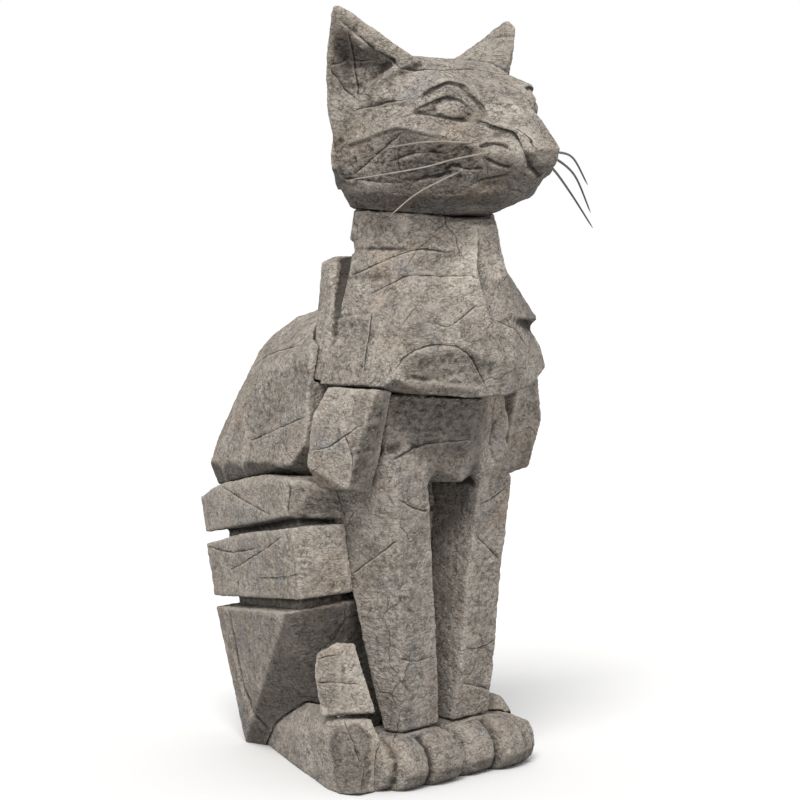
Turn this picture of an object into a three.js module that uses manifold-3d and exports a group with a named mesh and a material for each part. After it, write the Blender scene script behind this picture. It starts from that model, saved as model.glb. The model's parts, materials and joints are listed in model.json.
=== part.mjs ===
// Seated block-built cat figurine. Millimetres, +Z up, the cat faces -Y and its left side is +X.
// Each stone is a hull of hand-set corner points. Stones are laid in order, and a stone laid later
// is cut back from the earlier ones so that an open joint is left all the way round.
import * as THREE from 'three';
import { ConvexGeometry } from 'three/addons/geometries/ConvexGeometry.js';
import { mergeVertices } from 'three/addons/utils/BufferGeometryUtils.js';
import Module from 'manifold-3d';

const wasm = await Module();
wasm.setup();

// ---- driving dimensions ----
const JOINT = 0.4;
const PIN_FIT = 0.15;
const PIN_D = 4.0;
const ROD_D = 6.0;
const WHISKER_D = 1.1;
const WHISKER_FIT = 0.2;
const ROUND_SIDES = 20;
// The corner points are set about the neck's axis; the whole cat then moves by this much in y,
// so that the centre of its footprint box is at the origin.
const BASE_SHIFT_Y = 3.6;

const EAR_TIP = [47.6, -28, 283];
const CROWN_Z = 267.5;
const JAW_Z = 208.5;
const NECK_TOP = 207.6;
const NECK_BOTTOM = 195.5;
const MANTLE_TOP = 195;
const MANTLE_BOTTOM = 143.5;
const BREAST_BOTTOM = 111;
const SHOULDER_X = 51;
const HAUNCH_X = 50;
const ANKLE_Z = 20;

// ---- finishes ----
const STONE = { color: 0x92867a, roughness: 0.9, metalness: 0.0 };
const STONE_LIGHT = { color: 0xa09488, roughness: 0.9, metalness: 0.0 };
const STEEL = { color: 0x9a9c9f, roughness: 0.35, metalness: 1.0 };
const WIRE_PALE = { color: 0xb3a797, roughness: 0.45, metalness: 0.3 };
const WIRE_DARK = { color: 0x3c3a38, roughness: 0.4, metalness: 0.6 };

// ---- small helpers ----
function flip(points) {
  return points.map(([x, y, z]) => [-x, y, z]);
}

function both(points) {
  return points.concat(flip(points));
}

function toSolid(geometry) {
  const bare = new THREE.BufferGeometry();
  bare.setAttribute('position', geometry.getAttribute('position'));
  if (geometry.index) bare.setIndex(geometry.index);
  const merged = mergeVertices(bare, 1e-4);
  return new wasm.Manifold(new wasm.Mesh({
    numProp: 3,
    vertProperties: new Float32Array(merged.getAttribute('position').array),
    triVerts: new Uint32Array(merged.index.array),
  }));
}

function hull(points) {
  return toSolid(new ConvexGeometry(points.map((p) => new THREE.Vector3(...p))));
}

// The same hull pushed out by `gap`, used to cut the neighbours back.
function grownHull(points, gap) {
  const out = [];
  for (const [x, y, z] of points) {
    for (const sx of [-gap, gap]) {
      for (const sy of [-gap, gap]) {
        for (const sz of [-gap, gap]) {
          out.push([x + sx, y + sy, z + sz]);
        }
      }
    }
  }
  return hull(out);
}

function join(solids) {
  return solids.reduce((sum, next) => sum.add(next));
}

// A rounded lump: points on an ellipsoid, flattened where it would go below `floor`.
function lump([cx, cy, cz], [rx, ry, rz], floor = 0) {
  const points = [];
  for (let i = -3; i <= 3; i += 1) {
    const lat = (i / 3) * 0.5 * Math.PI * 0.999;
    for (let j = 0; j < 12; j += 1) {
      const lon = (j / 12) * 2 * Math.PI;
      const x = cx + rx * Math.cos(lat) * Math.cos(lon);
      const y = cy + ry * Math.cos(lat) * Math.sin(lon);
      const z = Math.max(floor, cz + rz * Math.sin(lat));
      points.push([x, y, z]);
    }
  }
  return points;
}

// A blunt toe: centre line x, half width, foremost y and height. It runs back under the ankle.
function toe(x, halfWidth, front, height) {
  const points = [];
  const layers = [[0.0, 0.0, 0.0], [0.5, 0.0, 0.0], [0.8, 1.2, 1.2], [0.98, 4.4, 4.4]];
  for (const [share, back, drop] of layers) {
    for (const sign of [-1, 1]) {
      const px = x + sign * share * halfWidth;
      points.push([px, front + 5 + 0.6 * back, 0]);
      points.push([px, front + 1.8 + back, 2]);
      points.push([px, front + back, 6.5]);
      points.push([px, front + 0.8 + back, 11.5 - 0.4 * drop]);
      points.push([px, front + 3 + back, 15.4 - 0.8 * drop]);
      points.push([px, front + 7 + back, height - 0.8 - drop]);
      points.push([px, front + 12 + back, height - drop]);
      points.push([px, -24, height - drop]);
      points.push([px, -24, 0]);
    }
  }
  return points;
}

function rod(from, to, diameter) {
  const a = new THREE.Vector3(...from);
  const b = new THREE.Vector3(...to);
  const geometry = new THREE.CylinderGeometry(diameter / 2, diameter / 2, a.distanceTo(b), ROUND_SIDES);
  const turn = new THREE.Quaternion().setFromUnitVectors(
    new THREE.Vector3(0, 1, 0),
    b.clone().sub(a).normalize(),
  );
  geometry.applyQuaternion(turn);
  geometry.translate((a.x + b.x) / 2, (a.y + b.y) / 2, (a.z + b.z) / 2);
  return toSolid(geometry);
}

// ---- stones: each function gives a list of convex corner sets ----
function skull() {
  const crown = both([[14, -12, CROWN_Z - 3], [19, -30, CROWN_Z - 0.3], [21, -42, CROWN_Z - 2]]);
  const brow = both([[6, -50, 262.6], [23, -47, 260.5], [25, -59.5, 255.5], [9, -65, 253.5]]);
  const eye = both([[24, -60, 248.5], [31, -52, 247.5], [10, -64, 246], [20, -56, 241]]);
  const temple = both([[31, -43, 259], [36.5, -35, 254], [38.5, -26, 246], [36, -20, 238]]);
  const back = both([[20, -3, 226], [18, -4, 250], [27, -9, 256], [24, -6, 218.5]]);
  const cheekTop = both([
    [18, -62, 243], [25, -58.5, 245.4], [31.6, -51.6, 247.6], [37.4, -37, 247], [36, -20, 240],
  ]);
  const cheekRidge = both([[39.2, -18, 231.8], [39.5, -39, 236.5], [37, -51, 239.2], [31, -61.5, 235.5]]);
  const cheekLow = both([[39, -17, 224], [36.5, -34, 216.5], [17, -66, 216.6], [24, -68, 234.4]]);
  return [crown.concat(brow, eye, temple, back), cheekTop.concat(cheekRidge, cheekLow, back)];
}

function noseBridge() {
  const root = both([[6, -62, 254], [11, -65, 251], [18.5, -65, 244.6], [15, -69, 239.5]]);
  const ridge = both([[4, -74, 248.6], [4.5, -80, 242.6], [4.5, -84.4, 237.6], [4.5, -88.2, 232.8]]);
  const tip = both([[7.5, -82, 236], [7, -84.5, 231], [3, -86.6, 227], [1.5, -83, 222.8]]);
  const inner = both([[4, -66, 226]]);
  return [root.concat(ridge, tip, inner)];
}

function muzzlePad(side) {
  const pad = [
    [8.3, -79, 237], [6.6, -82.5, 231.5], [6, -81.5, 225], [3.2, -81, 222.3],
    [16, -72.5, 236.6], [16.5, -76.5, 231], [15, -74.5, 223.5], [23.5, -68.5, 234.5],
    [18, -68.5, 221.5], [8, -62, 236], [8, -62, 223],
  ];
  return [side > 0 ? pad : flip(pad)];
}

function lowerJaw() {
  const upper = both([
    [37.5, -19, 220.5], [36, -33.5, 216], [16.5, -67.5, 216.2], [7.5, -74, 218.6], [2.5, -82, 221.4],
  ]);
  const lower = both([[32, -20, 212], [26, -39, 210.6], [9, -50, JAW_Z + 0.3], [5, -60, 211.2]]);
  const chin = both([[3, -70, 213.6], [2.5, -76, 215.8], [2.5, -78.2, 218]]);
  const back = both([[20, -6, 219], [18, -8, 211.4]]);
  return [upper.concat(lower, chin, back)];
}

function ear(side) {
  const front = [
    [46.2, -32, 280.5], [38, -38.6, 274], [29, -44.6, 267.3], [24, -46.5, 263.8], [30, -43.5, 259.5],
  ];
  const rear = [[45.2, -21.5, 275], [44.4, -19, 262], [43.2, -18.6, 248], [40, -20.5, 234.5]];
  const low = [[36.5, -35.5, 253.5], [41, -27.5, 245]];
  const inner = [[20, -31, 268], [19, -20, 265], [26, -12, 256], [34, -13, 240]];
  const shell = [EAR_TIP].concat(front, rear, low, inner);
  return [side > 0 ? shell : flip(shell)];
}

function earHollow(side) {
  const rim = [
    [46.9, -29.4, 275], [44.8, -22.5, 268], [43.2, -21, 250], [41.2, -27.4, 245.6],
    [37, -36.2, 255.5], [31.4, -43.4, 264],
  ];
  const deep = [[43.2, -26, 273.8], [36.8, -23.8, 263], [36.4, -24.2, 252], [30.5, -37.6, 262]];
  const hollow = rim.concat(deep);
  return hull(side > 0 ? hollow : flip(hollow));
}

function neck() {
  const front = both([[6, -57.5, NECK_TOP - 2], [5, -55, NECK_TOP], [25, -40, NECK_TOP + 2.6]]);
  const rear = both([[26.5, -17, NECK_TOP + 4.4], [14, -6, NECK_TOP + 4]]);
  const low = both([
    [7.5, -58.8, NECK_BOTTOM], [26, -41.5, NECK_BOTTOM], [27.5, -16, 200], [15, -3.8, 200],
  ]);
  const underside = both([[24, -18.5, NECK_BOTTOM + 1.6], [12, -7, NECK_BOTTOM + 1.6]]);
  const seat = both([[18, -40, 199], [19, -20, 199], [9, -12, 199]]);
  const seatLow = both([
    [18, -40, MANTLE_TOP - 0.4], [19, -20, MANTLE_TOP - 0.4], [9, -12, MANTLE_TOP - 0.4],
  ]);
  return [front.concat(rear, low, underside), seat.concat(seatLow)];
}

function mantle() {
  const collarTop = both([
    [7.5, -58.8, MANTLE_TOP], [25.5, -42, MANTLE_TOP], [30, -19.5, MANTLE_TOP], [16, -6, MANTLE_TOP],
  ]);
  const collarLow = both([[9, -60.5, 186], [27, -45.5, 186], [31, -17.5, 183], [18, -7, 183]]);
  const flareTop = both([[9, -60.5, 188], [26.5, -45, 188], [31, -17.8, 186], [18, -7, 186]]);
  const flareLow = both([
    [10, -62.8, 172], [38, -51, 170], [36, -48, 167], [37, -28, 167], [34, -14.5, 166],
  ]);
  const lowerTop = both([
    [9, -62.5, 171], [35, -48.5, 168], [37, -28, 168], [34, -14.5, 168], [20, -8, 170],
  ]);
  const bulge = both([[9, -64, 157], [41, -50.5, 159], [42.5, -51.5, 152], [42, -30, 157]]);
  const rim = both([
    [8, -62, MANTLE_BOTTOM], [28, -56.5, 145.5], [43.5, -46.5, 148.4], [43.5, -33, 150.4],
  ]);
  const rear = both([[43, -15, 148], [20, -8, 148.4], [20, -8, 144]]);
  // On the cat's right the two tiers run together at the front.
  const nearFill = flip([
    [9, -62.8, 174], [33, -47, 178], [36, -38, 174], [40.5, -38, 160], [41, -50.5, 159], [9, -64, 158],
  ]);
  return [
    nearFill,
    collarTop.concat(collarLow),
    flareTop.concat(flareLow, both([[20, -8, 168]])),
    lowerTop.concat(bulge, rim, rear),
  ];
}

function napeSlab() {
  const top = both([[24, -2, 192], [19, 7, 191.5], [22, -4, 193.5], [16, 3, 193.8], [8, 12, 190]]);
  const low = both([[26, -5, 176], [20, 8.5, 172], [8, 15, 174], [28.3, 0, 174], [34.5, -13.8, 171]]);
  const foot = both([[32, -2, 159.5], [39.7, -8, 149], [41, -14, 149], [18, 6, 160], [20, 2, 149]]);
  return [top.concat(low, foot, both([[18, -7.4, 176], [18, -7.4, 149], [18, -3, 192]]))];
}

function backBlock() {
  const spine = both([
    [8, 19, 173.5], [8, 31, 170], [8, 44.5, 162.6], [8, 52.2, 155.8], [8, 64.2, 138.4],
  ]);
  const rump = both([
    [8, 74.6, 121.8], [8, 80.3, 109.5], [14, 72.8, 112], [8, 75, 101.5], [14, 69, 102.5],
  ]);
  const strip = both([[34, -3.5, 162], [30, 18.3, 156], [27, 30, 151], [23, 45, 138], [19, 58.5, 121.5]]);
  const side = both([
    [40, -8.5, 161.5], [44, -10, 146], [44.5, -11, 135], [44.5, -8.5, 125.4], [42, 1.3, 117.2],
  ]);
  const under = both([[30, 34, 115.5], [34, -4, 113.8], [24, 36, 111.5], [34, -12, 118], [34, -12, 150]]);
  return [spine.concat(rump, strip, side, under)];
}

function breast() {
  const keel = [[0, -55.4, 142.2], [0, -46.3, BREAST_BOTTOM]];
  const wing = both([
    [31, -39, 144.5], [31, -36, 122], [14, -43.5, 118], [12, -40, 112], [33, -13, 146],
    [33, -13, 113],
  ]);
  return [keel.concat(wing, both([[10, -13, 109]]))];
}

function shoulder(side) {
  const block = [
    [44, -20, 147.2], [45.5, -45.5, 147.6], [36, -44.5, 147], [35.5, -18, 147], [50, -18, 137],
    [SHOULDER_X, -16, 119], [48, -19, 111], [SHOULDER_X, -43, 131], [SHOULDER_X, -36.8, 111.7],
    [36.5, -42.6, 140], [36, -39, 125], [37, -34.5, 109], [36, -17, 110],
  ];
  return [side > 0 ? block : flip(block)];
}

function foreleg(side) {
  const foot = [[24.7, -38.9, ANKLE_Z], [4, -38.7, ANKLE_Z], [26, -31.5, ANKLE_Z], [6, -24, ANKLE_Z]];
  const shin = [[25.9, -39.4, 42], [6.5, -40.6, 42], [28, -26.5, 39], [8, -22, 40]];
  const elbow = [[28.8, -41.6, 75], [10, -41.2, 78], [31.5, -21.5, 68], [11, -16, 72]];
  const top = [[33, -43, 109], [15, -43.4, 113.5], [36, -17, 97], [14, -12, 98], [38, -13.5, 108]];
  const cap = [[33, -37.6, 123.5], [16, -42.7, 122], [34, -14, 112.6], [16, -14, 112.6]];
  const lower = foot.concat(shin, elbow);
  const upper = elbow.concat(top, cap);
  return side > 0 ? [lower, upper] : [flip(lower), flip(upper)];
}

function frontPaw(side) {
  const instep = [[5, -40, 19.4], [25, -40, 19.4], [26, -22, 19.4], [6, -22, 19.4],
    [3, -42, 5], [29, -40, 5], [28, -22, 0], [3, -22, 0], [5, -40, 0], [27, -39, 0]];
  const nearToes = [toe(9.6, 8.9, -50.8, 19.4), toe(25, 7.2, -48.8, 19), toe(32.5, 4.9, -42.6, 18.6)];
  const farToes = [
    toe(9.6, 8.9, -49.8, 19.4), toe(25, 7.3, -53, 19), toe(33, 4.4, -51.8, 18.4),
    toe(38, 3.8, -49.2, 17),
  ];
  const sets = (side > 0 ? farToes : nearToes).concat([instep]);
  return side > 0 ? sets : sets.map(flip);
}

function slabUpper() {
  const top = both([
    [13.6, 80, 96.5], [18, 66, 102.4], [22.3, 40, 110.5], [30, 32, 109.6], [47.5, -4.7, 113],
    [44, -17.5, 112],
  ]);
  const low = both([[13.8, 77, 82.6], [26, 46, 90], [HAUNCH_X - 0.5, -5.1, 99.4], [38, -21.5, 99]]);
  const inner = both([[16, 71, 100.6], [8, -12, 110], [8, -12, 100]]);
  const seat = both([[8, 70, 86], [20, 44, 93], [42, -3, 101], [34, -14, 101]]);
  const seatLow = both([[8, 70, 76.8], [20, 44, 84], [42, -3, 93.4], [34, -14, 94.6]]);
  return [top.concat(low, inner), seat.concat(seatLow)];
}

function slabMiddle() {
  const top = both([[14, 76.3, 78], [28, 42.6, 86.5], [HAUNCH_X, -7.6, 95.4], [38.5, -21, 97]]);
  const low = both([[13, 73, 57.2], [28, 42, 62], [HAUNCH_X, -11.6, 69.2], [34, -22, 71.6]]);
  const inner = both([[8, 81, 76], [7, 77.5, 58], [8, -12, 97], [8, -12, 72]]);
  const seat = both([[7, 66, 61], [14, 48, 63], [40, -2, 70], [30, -12, 72]]);
  const seatLow = both([[6.5, 65, 51.6], [14, 48, 54.6], [40, -2, 62], [30, -12, 64.4]]);
  return [top.concat(low, inner), seat.concat(seatLow)];
}

function haunchBase() {
  const top = both([
    [12, 73.4, 52.6], [20, 58, 55], [HAUNCH_X - 1, -2.8, 63.4], [31, -18.5, 67.5], [10, -14, 67],
  ]);
  const low = both([[12, 57, 0], [4, 58, 0], [8, 50.5, 7.5], [7, 46, 0], [6, 10, 0], [10, 8, 18]]);
  return [top.concat(low)];
}

function hindPaw(side) {
  if (side < 0) {
    const front = [[24, -21, 0], [33, -21, 0], [24, -19.5, 19], [32.5, -19.5, 16]];
    return [flip(front.concat([[21, -2, 21], [29, -8, 21], [21, -2, 0], [27, -6, 0]]))];
  }
  const toes = lump([37, -29, 11], [9, 10, 13.5]);
  const heel = [
    [15, 36, 0], [30, 30, 0], [18, 36, 23], [29, 30, 22], [44, 2, 0], [42, 2, 23], [29, 0, 24],
    [28, 0, 0],
  ];
  return [toes.concat(heel)];
}

function tailBase() {
  const ground = [
    [-5.4, 54.5, 0], [-24, 21, 0], [-46, -21.5, 0], [-48.5, -30, 0], [-46.5, -37.3, 1],
    [-35.6, -37.6, 0],
  ];
  const inner = [[-35.6, -20, 0], [-20, 6, 0], [-6, 34, 0], [-1, 50, 0]];
  const crest = [[-6.6, 52.4, 8], [-10, 36.5, 15], [-20, 15.6, 23.4], [-37, -11, 28], [-35.6, -14, 28]];
  const front = [[-46.5, -20, 21.5], [-45.5, -22, 24.6], [-44, -27.5, 26.4], [-36, -34, 26.2]];
  const face = [[-47.5, -31, 18], [-44, -37.4, 17], [-35.6, -37.8, 20]];
  return [ground.concat(inner, crest, front, face)];
}

function tailTip() {
  const low = [
    [-46.2, -18.4, 26.4], [-45.6, -28, 29], [-35, -35.6, 28.6], [-33.6, -30, 28],
    [-33.6, -15.5, 29.2],
  ];
  const mid = [[-47, -15.6, 42.5], [-34, -27.6, 41]];
  const top = [[-44.6, -14.6, 48.8], [-43.4, -23.6, 54.2], [-35.4, -25, 53], [-34.4, -15.5, 51]];
  return [low.concat(mid, top)];
}

// ---- laying order: a stone gives way to the ones above it in this list ----
const STONES = [
  ['skull', skull(), STONE_LIGHT],
  ['lower_jaw', lowerJaw(), STONE],
  ['nose_bridge', noseBridge(), STONE],
  ['muzzle_pad_left', muzzlePad(1), STONE],
  ['muzzle_pad_right', muzzlePad(-1), STONE],
  ['ear_left', ear(1), STONE],
  ['ear_right', ear(-1), STONE],
  ['neck', neck(), STONE],
  ['chest_mantle', mantle(), STONE_LIGHT],
  ['nape_slab', napeSlab(), STONE],
  ['shoulder_left', shoulder(1), STONE_LIGHT],
  ['shoulder_right', shoulder(-1), STONE_LIGHT],
  ['back_block', backBlock(), STONE_LIGHT],
  ['breast', breast(), STONE],
  ['foreleg_left', foreleg(1), STONE],
  ['foreleg_right', foreleg(-1), STONE],
  ['front_paw_left', frontPaw(1), STONE],
  ['front_paw_right', frontPaw(-1), STONE],
  ['haunch_slab_upper', slabUpper(), STONE_LIGHT],
  ['haunch_slab_middle', slabMiddle(), STONE_LIGHT],
  ['tail_base', tailBase(), STONE],
  ['tail_tip', tailTip(), STONE_LIGHT],
  ['haunch_base', haunchBase(), STONE],
  ['hind_paw_left', hindPaw(1), STONE],
  ['hind_paw_right', hindPaw(-1), STONE],
];

// ---- steel dowels sealed inside, each through the joint it holds ----
const PINS = [
  ['dowel_head', [0, -34, 188], [0, -34, 226], ROD_D],
  ['dowel_chest', [0, -30, 122], [0, -30, 168], ROD_D],
  ['dowel_nape', [0, -28, 176], [0, 4, 176], PIN_D],
  ['dowel_back', [0, -22, 154], [0, 30, 154], ROD_D],
  ['rod_haunch', [0, 28, 20], [0, 28, 132], ROD_D],
  ['dowel_ear_left', [22, -28, 254], [34, -25, 265], PIN_D],
  ['dowel_ear_right', [-22, -28, 254], [-34, -25, 265], PIN_D],
  ['dowel_shoulder_left', [20, -28, 135], [44, -28, 135], PIN_D],
  ['dowel_shoulder_right', [-20, -28, 135], [-44, -28, 135], PIN_D],
  ['dowel_leg_left', [24, -30, 100], [24, -30, 129], PIN_D],
  ['dowel_leg_right', [-24, -30, 100], [-24, -30, 129], PIN_D],
  ['dowel_ankle_left', [15, -32, 8], [15, -32, 36], PIN_D],
  ['dowel_ankle_right', [-15, -32, 8], [-15, -32, 36], PIN_D],
  ['dowel_tail', [-40, -23, 14], [-40, -23, 42], PIN_D],
];

// ---- wire whiskers, each from its socket to its tip; the two sides were set by hand and differ ----
const WHISKERS = [
  ['whisker_upper_right', WIRE_PALE, [
    [-11, -66, 232.5], [-17, -69.5, 234.2], [-34, -65.2, 234.8], [-45, -63, 234], [-56, -60.5, 232.2],
  ]],
  ['whisker_middle_right', WIRE_PALE, [
    [-10, -70, 231], [-16.5, -74.1, 231.3], [-34, -72, 228.6], [-46, -66.5, 225.4], [-62, -47, 221.2],
  ]],
  ['whisker_lower_right', WIRE_PALE, [
    [-11, -62, 226.5], [-20, -64, 225], [-32, -63.4, 221.1], [-44, -62.4, 216.2], [-54, -60.3, 209.3],
  ]],
  ['whisker_upper_left', WIRE_DARK, [
    [10, -70, 231.5], [17, -72, 232.4], [27, -68.7, 232.2], [42, -64.4, 230.3], [58, -59, 220.5],
  ]],
  ['whisker_middle_left', WIRE_DARK, [
    [10, -70, 229], [17, -71.6, 230.2], [27, -68.2, 229.7], [44, -63.8, 223.7], [62, -57.4, 210],
  ]],
  ['whisker_lower_left', WIRE_DARK, [
    [10, -68, 227], [17, -69.4, 227.6], [26, -67.2, 226.4], [44, -61.5, 217.7], [60, -60, 204.2],
  ]],
];

function whiskerSolid(points, diameter) {
  const curve = new THREE.CatmullRomCurve3(points.map((p) => new THREE.Vector3(...p)));
  const ring = [];
  for (let i = 0; i < 10; i += 1) {
    const turn = (i / 10) * 2 * Math.PI;
    ring.push(new THREE.Vector2((diameter / 2) * Math.cos(turn), (diameter / 2) * Math.sin(turn)));
  }
  const section = new THREE.Shape(ring);
  const options = { steps: 24, bevelEnabled: false, extrudePath: curve };
  const geometry = new THREE.ExtrudeGeometry(section, options);
  return toSolid(geometry);
}

// ---- build ----
function overlaps(a, b) {
  const p = a.boundingBox();
  const q = b.boundingBox();
  return [0, 1, 2].every((k) => p.min[k] < q.max[k] && q.min[k] < p.max[k]);
}

function layStones() {
  const laid = [];
  for (const [name, sets, finish] of STONES) {
    let solid = join(sets.map(hull));
    if (name.startsWith('ear_')) solid = solid.subtract(earHollow(name.endsWith('left') ? 1 : -1));
    for (const other of laid) {
      for (const block of other.grown) {
        if (overlaps(solid, block)) solid = solid.subtract(block);
      }
    }
    laid.push({ name, solid, finish, grown: sets.map((points) => grownHull(points, JOINT)) });
  }
  return laid;
}

function drill(stones, cutter) {
  for (const stone of stones) {
    if (overlaps(stone.solid, cutter)) stone.solid = stone.solid.subtract(cutter);
  }
}

function toMesh(name, solid, finish) {
  const mesh = solid.getMesh();
  const geometry = new THREE.BufferGeometry();
  geometry.setAttribute('position', new THREE.BufferAttribute(new Float32Array(mesh.vertProperties), 3));
  geometry.setIndex(new THREE.BufferAttribute(new Uint32Array(mesh.triVerts), 1));
  geometry.translate(0, BASE_SHIFT_Y, 0);
  geometry.computeVertexNormals();
  const object = new THREE.Mesh(geometry, new THREE.MeshStandardMaterial(finish));
  object.name = name;
  return object;
}

const group = new THREE.Group();
group.name = 'ceramic_cat_figurine';

const stones = layStones();
for (const [name, from, to, diameter] of PINS) {
  drill(stones, rod(from, to, diameter + 2 * PIN_FIT));
  group.add(toMesh(name, rod(from, to, diameter), STEEL));
}
for (const [name, finish, points] of WHISKERS) {
  drill(stones, whiskerSolid(points, WHISKER_D + 2 * WHISKER_FIT));
  group.add(toMesh(name, whiskerSolid(points, WHISKER_D), finish));
}
for (const stone of stones) {
  group.add(toMesh(stone.name, stone.solid, stone.finish));
}

export default group;
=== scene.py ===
"""Seated block-built cat figurine: carved stone, wire whiskers and a soft studio, around the CAD frame."""

import json
import math

import bmesh
import bpy
import numpy as np
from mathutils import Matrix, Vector


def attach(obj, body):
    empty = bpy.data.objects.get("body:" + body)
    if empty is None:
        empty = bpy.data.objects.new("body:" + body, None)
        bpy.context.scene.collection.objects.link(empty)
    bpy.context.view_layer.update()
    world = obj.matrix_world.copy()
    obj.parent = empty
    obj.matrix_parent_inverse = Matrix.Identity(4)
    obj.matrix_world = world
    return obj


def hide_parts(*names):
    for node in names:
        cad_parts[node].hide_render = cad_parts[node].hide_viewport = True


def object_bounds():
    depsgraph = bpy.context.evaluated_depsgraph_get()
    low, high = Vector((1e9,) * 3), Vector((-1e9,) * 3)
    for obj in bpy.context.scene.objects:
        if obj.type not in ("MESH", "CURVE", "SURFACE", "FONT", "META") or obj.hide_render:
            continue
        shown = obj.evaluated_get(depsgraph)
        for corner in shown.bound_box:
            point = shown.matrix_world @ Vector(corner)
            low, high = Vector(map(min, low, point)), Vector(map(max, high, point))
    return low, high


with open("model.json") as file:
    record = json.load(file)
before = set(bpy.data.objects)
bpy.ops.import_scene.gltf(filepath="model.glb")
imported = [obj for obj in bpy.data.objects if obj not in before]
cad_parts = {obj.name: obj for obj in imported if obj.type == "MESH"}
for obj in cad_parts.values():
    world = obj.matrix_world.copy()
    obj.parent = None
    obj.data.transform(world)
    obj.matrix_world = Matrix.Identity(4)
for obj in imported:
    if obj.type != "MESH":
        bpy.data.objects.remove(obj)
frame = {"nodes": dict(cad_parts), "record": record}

CAD_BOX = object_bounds()
NODES = frame["nodes"]
SLOTS = {s["node"]: s["material_slot"] for s in frame["record"]["subparts"]}
MM = 0.001
SHIFT_Y = 3.6  # millimetres from the cat's own axis to the frame's origin, along y
VOXEL = 0.62 * MM
HEAD_VOXEL = 0.45 * MM
FAR = 3.0  # millimetres: no fracture line reaches further than this
OFF_SURFACE = 3.5 * MM  # a path works on the surfaces that lie this close to it

# Closing distances of the stones that are carved as one.
HEAD_CLOSE = 0.9 * MM
BODY_CLOSE = 1.1 * MM

# Rounds of smoothing.
BLOCK_ROUNDS = 3
CARVED_ROUNDS = 1
PAW_ROUNDS = 5

# Whisker wire: the radius at the root for each slot, and the sides of its section.
WIRE_ROOT = {"wire_pale": 0.37 * MM, "wire_dark": 0.6 * MM}
WIRE_SIDES = 12

# How dark a downward face is painted at most, as painted shade, and the paws' share of the stone's tone.
UNDER_SHADE = 0.55
PAW_TONE = 0.9

# Stone colours, linear, before each body's own lift.
DARK = (0.085, 0.074, 0.064)
BODY = (0.225, 0.197, 0.168)
PALE = (0.36, 0.325, 0.285)
BRIGHT = (0.5, 0.46, 0.41)
WARM = (0.285, 0.215, 0.158)
COOL = (0.165, 0.172, 0.18)
# CREVICE is the dark of the cracks, and also the painted shade laid into hollows and grooves.
CREVICE = (0.03, 0.026, 0.022)
STONE_LIFT = 1.06
LIGHT_STONE_LIFT = 1.12

# Studio, in metres, and the camera at the photograph's viewing angle.
FLOOR_SIZE = 8.0
FLOOR_ALBEDO = 0.62
WORLD_STRENGTH = 1.0
KEY_ENERGY = 3.1
KEY_ANGLE = math.radians(24)
KEY_DIRECTION = (0.52, 0.34, -0.78)
CAMERA_PLACE = (-0.6582, -0.6102, 0.211)
CAMERA_FORWARD = (0.7376, 0.6705, -0.0799)
CAMERA_LENS = 106.65
CAMERA_SENSOR = 36.0


# ---- points in the cat's own millimetres: x to its left, y backwards, z up ----
def pts(*points):
    """Listed points in cat millimetres, as metres in the frame."""
    return np.array([[x, y + SHIFT_Y, z] for x, y, z in points], float) * MM


def mirrored(points):
    return points * np.array([-1.0, 1.0, 1.0])


# ---- mesh arrays ----
def coords(mesh):
    co = np.empty(len(mesh.vertices) * 3, np.float32)
    mesh.vertices.foreach_get("co", co)
    return co.reshape(-1, 3).astype(float)


def set_coords(mesh, co):
    mesh.vertices.foreach_set("co", co.astype(np.float32).ravel())
    mesh.update()


def normals(mesh):
    no = np.empty(len(mesh.vertices) * 3, np.float32)
    mesh.vertex_normals.foreach_get("vector", no)
    return no.reshape(-1, 3).astype(float)


def edges(mesh):
    ed = np.empty(len(mesh.edges) * 2, np.int32)
    mesh.edges.foreach_get("vertices", ed)
    return ed.reshape(-1, 2)


def neighbour_mean(values, ed, degree):
    """Mean of each vertex's neighbours, for one value or a row of values per vertex."""
    table = values.reshape(len(values), -1)
    out = np.empty_like(table)
    for k in range(table.shape[1]):
        col = table[:, k]
        total = np.bincount(ed[:, 0], col[ed[:, 1]], len(col))
        total += np.bincount(ed[:, 1], col[ed[:, 0]], len(col))
        out[:, k] = total / degree
    return out.reshape(values.shape)


def smooth(values, ed, rounds, weight=0.6):
    degree = np.maximum(np.bincount(ed.ravel(), minlength=len(values)), 1)
    for _ in range(rounds):
        values = values + weight * (neighbour_mean(values, ed, degree) - values)
    return values


def relax(co, ed, rounds):
    """Taubin smoothing: rounds the edges without shrinking the block."""
    degree = np.maximum(np.bincount(ed.ravel(), minlength=len(co)), 1)
    for _ in range(rounds):
        co = co + 0.6 * (neighbour_mean(co, ed, degree) - co)
        co = co - 0.55 * (neighbour_mean(co, ed, degree) - co)
    return co


def put_attribute(mesh, name, values):
    layer = mesh.attributes.get(name) or mesh.attributes.new(name, "FLOAT", "POINT")
    layer.data.foreach_set("value", values.astype(np.float32))


def path_distance(co, no, path):
    """Each point's distance from a polyline, measured in its own surface, its share along it and its side."""
    best = np.full(len(co), 1e9)
    across = np.full(len(co), 1e9)
    along = np.zeros(len(co))
    side = np.ones(len(co))
    steps = np.linalg.norm(path[1:] - path[:-1], axis=1)
    total = steps.sum()
    done = 0.0
    for a, b, length in zip(path[:-1], path[1:], steps):
        t = ((co - a) @ (b - a)) / max(length * length, 1e-12)
        held = np.clip(t, 0.0, 1.0)
        away = co - (a + held[:, None] * (b - a))
        reach = np.linalg.norm(away, axis=1)
        near = reach < best
        best[near] = reach[near]
        off = (away * no).sum(1)
        flat = np.linalg.norm(away - off[:, None] * no, axis=1)
        flat[np.abs(off) > OFF_SURFACE] = 1e9
        across[near] = flat[near]
        along[near] = (done + held[near] * length) / total
        right = np.cross(np.broadcast_to(b - a, co.shape)[near], no[near])
        side[near] = np.where((away[near] * right).sum(1) < 0, -1.0, 1.0)
        done += length
    return across, along, side


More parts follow.
